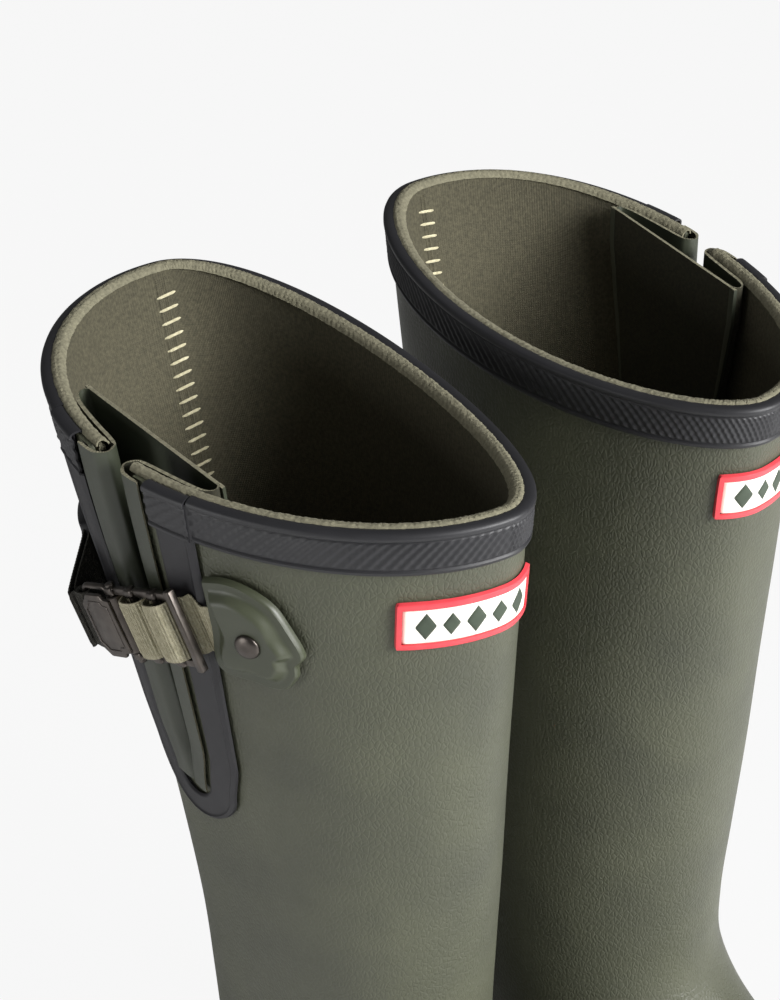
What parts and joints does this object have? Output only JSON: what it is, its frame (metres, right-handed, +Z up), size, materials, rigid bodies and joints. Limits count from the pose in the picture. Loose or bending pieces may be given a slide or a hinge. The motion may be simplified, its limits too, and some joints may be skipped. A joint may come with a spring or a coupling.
{
  "type": "adjustable insulated wellington boots",
  "caption": "A pair of tall insulated rubber boots with a bellows calf gusset, a strap and ladder buckle with a flip hook, a knurled top band and a cleated sole.",
  "frame": {"origin": "on the ground, at the middle of the pair", "axes": "+Y towards the toes, +X towards the wearer's right, +Z up"},
  "size_m": [0.2612, 0.3362, 0.4082],
  "materials": {
    "olive_grained_rubber": "satin, grained",
    "olive_smooth_rubber": "satin",
    "gusset_rubber": "satin",
    "slate_strip_rubber": "satin",
    "charcoal_band_rubber": "satin, knurled",
    "black_patch_rubber": "satin",
    "sole_rubber": "matte",
    "knit_neoprene": "knitted",
    "olive_webbing": "ribbed weave",
    "black_webbing": "ribbed weave",
    "gunmetal": "satin, darkened",
    "label_red": "semi-gloss",
    "label_cream": "semi-gloss",
    "fibre_board": "matte",
    "spring_steel": "bare",
    "foam": "matte"
  },
  "bodies": {
    "right_boot": {"right_upper_shell": "olive_grained_rubber", "right_lining": "knit_neoprene", "right_top_band": "charcoal_band_rubber", "right_band_end_front": "charcoal_band_rubber", "right_band_end_rear": "charcoal_band_rubber", "right_gusset": "gusset_rubber", "right_gusset_surround": "slate_strip_rubber", "right_front_tab": "olive_smooth_rubber", "right_tab_rivet": "gunmetal", "right_webbing_stub": "olive_webbing", "right_strap_ring": "gunmetal", "right_rear_strap": "black_webbing", "right_rear_anchor": "black_patch_rubber", "right_anchor_rivet_1": "gunmetal", "right_anchor_rivet_2": "gunmetal", "right_label_border": "label_red", "right_label_face": "label_cream", "right_toe_cap": "olive_smooth_rubber", "right_heel_patch": "olive_smooth_rubber", "right_back_strip": "olive_smooth_rubber", "right_foxing": "charcoal_band_rubber", "right_heel_spur": "charcoal_band_rubber", "right_outsole": "sole_rubber", "right_insole_board": "fibre_board", "right_shank": "spring_steel", "right_footbed": "foam"},
    "right_buckle": {"right_webbing_weave": "olive_webbing", "right_buckle_frame": "gunmetal"},
    "right_hook": {"right_hook_plate": "gunmetal"},
    "left_boot": {"left_upper_shell": "olive_grained_rubber", "left_lining": "knit_neoprene", "left_top_band": "charcoal_band_rubber", "left_band_end_front": "charcoal_band_rubber", "left_band_end_rear": "charcoal_band_rubber", "left_gusset": "gusset_rubber", "left_gusset_surround": "slate_strip_rubber", "left_front_tab": "olive_smooth_rubber", "left_tab_rivet": "gunmetal", "left_webbing_stub": "olive_webbing", "left_strap_ring": "gunmetal", "left_rear_strap": "black_webbing", "left_rear_anchor": "black_patch_rubber", "left_anchor_rivet_1": "gunmetal", "left_anchor_rivet_2": "gunmetal", "left_label_border": "label_red", "left_label_face": "label_cream", "left_toe_cap": "olive_smooth_rubber", "left_heel_patch": "olive_smooth_rubber", "left_back_strip": "olive_smooth_rubber", "left_foxing": "charcoal_band_rubber", "left_heel_spur": "charcoal_band_rubber", "left_outsole": "sole_rubber", "left_insole_board": "fibre_board", "left_shank": "spring_steel", "left_footbed": "foam"},
    "left_buckle": {"left_webbing_weave": "olive_webbing", "left_buckle_frame": "gunmetal"},
    "left_hook": {"left_hook_plate": "gunmetal"}
  },
  "joints": [
    {"name": "right_buckle_swing", "type": "hinge", "parent": "right_boot", "child": "right_buckle", "pos_m": [0.11579, -0.05264, 0.35137], "axis": [0.1805, -0.3261, 0.9279], "range_deg": [0, 50]},
    {"name": "right_hook_flip", "type": "hinge", "parent": "right_buckle", "child": "right_hook", "pos_m": [0.12434, -0.08197, 0.3394], "axis": [0.1805, -0.3261, 0.9279], "range_deg": [0, 110]},
    {"name": "left_boot_lift", "type": "slide", "parent": "right_boot", "child": "left_boot", "axis": [0, 0, 1], "range_m": [0, 0.45]},
    {"name": "left_buckle_swing", "type": "hinge", "parent": "left_boot", "child": "left_buckle", "pos_m": [-0.11579, -0.05264, 0.35137], "axis": [0.1805, 0.3261, -0.9279], "range_deg": [0, 50]},
    {"name": "left_hook_flip", "type": "hinge", "parent": "left_buckle", "child": "left_hook", "pos_m": [-0.12434, -0.08197, 0.3394], "axis": [0.1805, 0.3261, -0.9279], "range_deg": [0, 110]}
  ]
}
